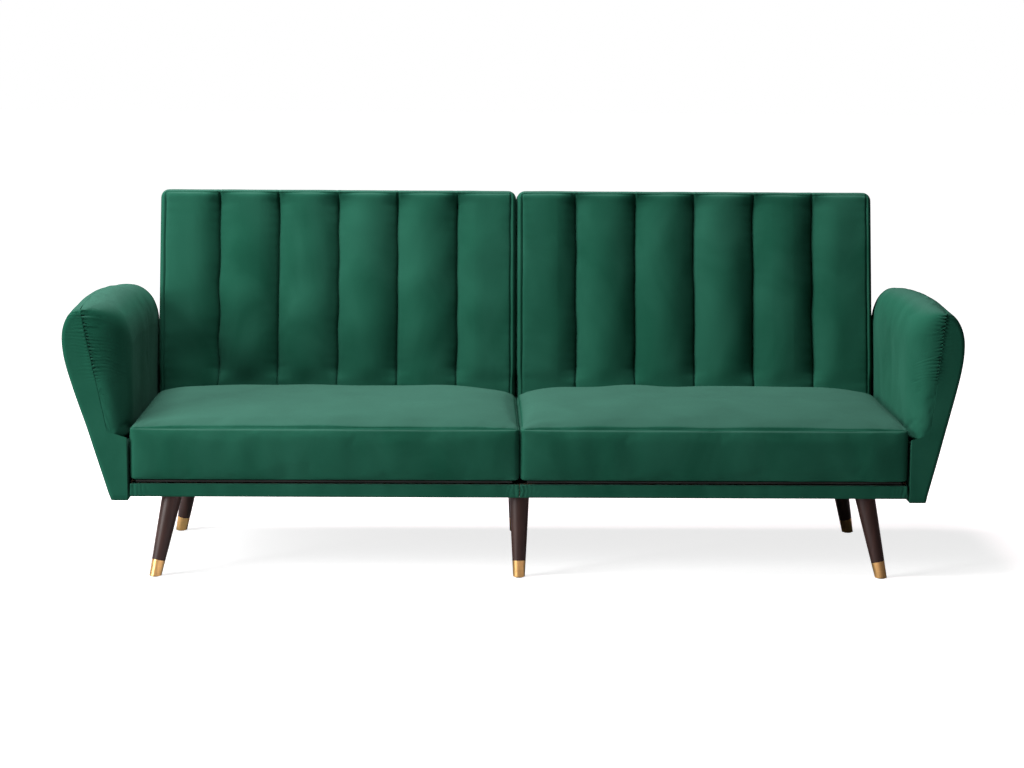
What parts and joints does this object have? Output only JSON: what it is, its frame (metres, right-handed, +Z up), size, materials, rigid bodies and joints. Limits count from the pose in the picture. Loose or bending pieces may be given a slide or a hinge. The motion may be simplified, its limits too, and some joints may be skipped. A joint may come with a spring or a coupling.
{
  "type": "sofa bed",
  "caption": "Upholstered split-back sofa bed with flared arms, channelled backs that recline flat and splayed tapered legs.",
  "frame": {"origin": "on the floor, in the middle of the sofa's outline at rest", "axes": "+Z up, +X to the right seen from the front, the front of the sofa towards -Y"},
  "size_m": [2.063, 0.8098, 0.8447],
  "materials": {
    "velvet": "emerald green velvet with a soft sheen",
    "leg_wood": "dark espresso stain, satin",
    "ferrule_gold": "gold-plated, lightly brushed",
    "glide_plastic": "black nylon",
    "zinc_steel": "zinc plated",
    "hinge_steel": "black powder coat",
    "spring_steel": "oiled spring wire",
    "felt": "grey needle felt",
    "dust_cloth": "black non-woven cloth",
    "webbing": "elastic upholstery webbing",
    "frame_wood": "bare pine"
  },
  "bodies": {
    "base": {"arm_board_left": "frame_wood", "arm_board_right": "frame_wood", "arm_body_left": "velvet", "arm_body_right": "velvet", "arm_bolts": "zinc_steel", "arm_pad_left": "velvet", "arm_pad_right": "velvet", "corner_blocks": "frame_wood", "dust_cover_left": "dust_cloth", "dust_cover_right": "dust_cloth", "foot_glides": "glide_plastic", "frame_joining_bolts": "zinc_steel", "hinge_seat_plates": "hinge_steel", "hinge_seat_screws": "zinc_steel", "leg_ferrules": "ferrule_gold", "leg_front_left": "leg_wood", "leg_front_middle": "leg_wood", "leg_front_right": "leg_wood", "leg_hanger_bolts": "zinc_steel", "leg_plate_screws": "zinc_steel", "leg_plates": "zinc_steel", "leg_rear_left": "leg_wood", "leg_rear_middle": "leg_wood", "leg_rear_right": "leg_wood", "rail_covers_left": "velvet", "rail_covers_right": "velvet", "seat_cross_rails_left": "frame_wood", "seat_cross_rails_right": "frame_wood", "seat_cushion_left": "velvet", "seat_cushion_right": "velvet", "seat_felt_left": "felt", "seat_felt_right": "felt", "seat_front_rail_left": "frame_wood", "seat_front_rail_right": "frame_wood", "seat_rear_rail_left": "frame_wood", "seat_rear_rail_right": "frame_wood", "seat_springs_left": "spring_steel", "seat_springs_right": "spring_steel"},
    "back_left": {"back_bottom_rail_left": "frame_wood", "back_cover_left": "velvet", "back_cushion_left": "velvet", "back_stiles_left": "frame_wood", "back_straps_left": "webbing", "back_top_rail_left": "frame_wood", "hinge_back_arms_left": "hinge_steel", "hinge_back_screws_left": "zinc_steel", "hinge_pins_left": "zinc_steel", "hinge_ratchets_left": "hinge_steel"},
    "back_right": {"back_bottom_rail_right": "frame_wood", "back_cover_right": "velvet", "back_cushion_right": "velvet", "back_stiles_right": "frame_wood", "back_straps_right": "webbing", "back_top_rail_right": "frame_wood", "hinge_back_arms_right": "hinge_steel", "hinge_back_screws_right": "zinc_steel", "hinge_pins_right": "zinc_steel", "hinge_ratchets_right": "hinge_steel"},
    "pawls_left": {"hinge_pawls_left": "hinge_steel"},
    "pawls_right": {"hinge_pawls_right": "hinge_steel"}
  },
  "joints": [
    {"name": "recline_left", "type": "hinge", "parent": "base", "child": "back_left", "pos_m": [-0.3705, 0.167, 0.3537], "axis": [-1, 0, 0], "range_deg": [-8, 77]},
    {"name": "pawl_left", "type": "hinge", "parent": "base", "child": "pawls_left", "pos_m": [-0.355, 0.167, 0.3197], "axis": [-1, 0, 0], "range_deg": [-7.8, 0.9]},
    {"name": "recline_right", "type": "hinge", "parent": "base", "child": "back_right", "pos_m": [0.3705, 0.167, 0.3537], "axis": [-1, 0, 0], "range_deg": [-8, 77]},
    {"name": "pawl_right", "type": "hinge", "parent": "base", "child": "pawls_right", "pos_m": [0.355, 0.167, 0.3197], "axis": [-1, 0, 0], "range_deg": [-7.8, 0.9]}
  ],
  "couplings": [
    {"joint": "pawl_left", "follows": "recline_left", "ratio": -0.1},
    {"joint": "pawl_right", "follows": "recline_right", "ratio": -0.1}
  ]
}
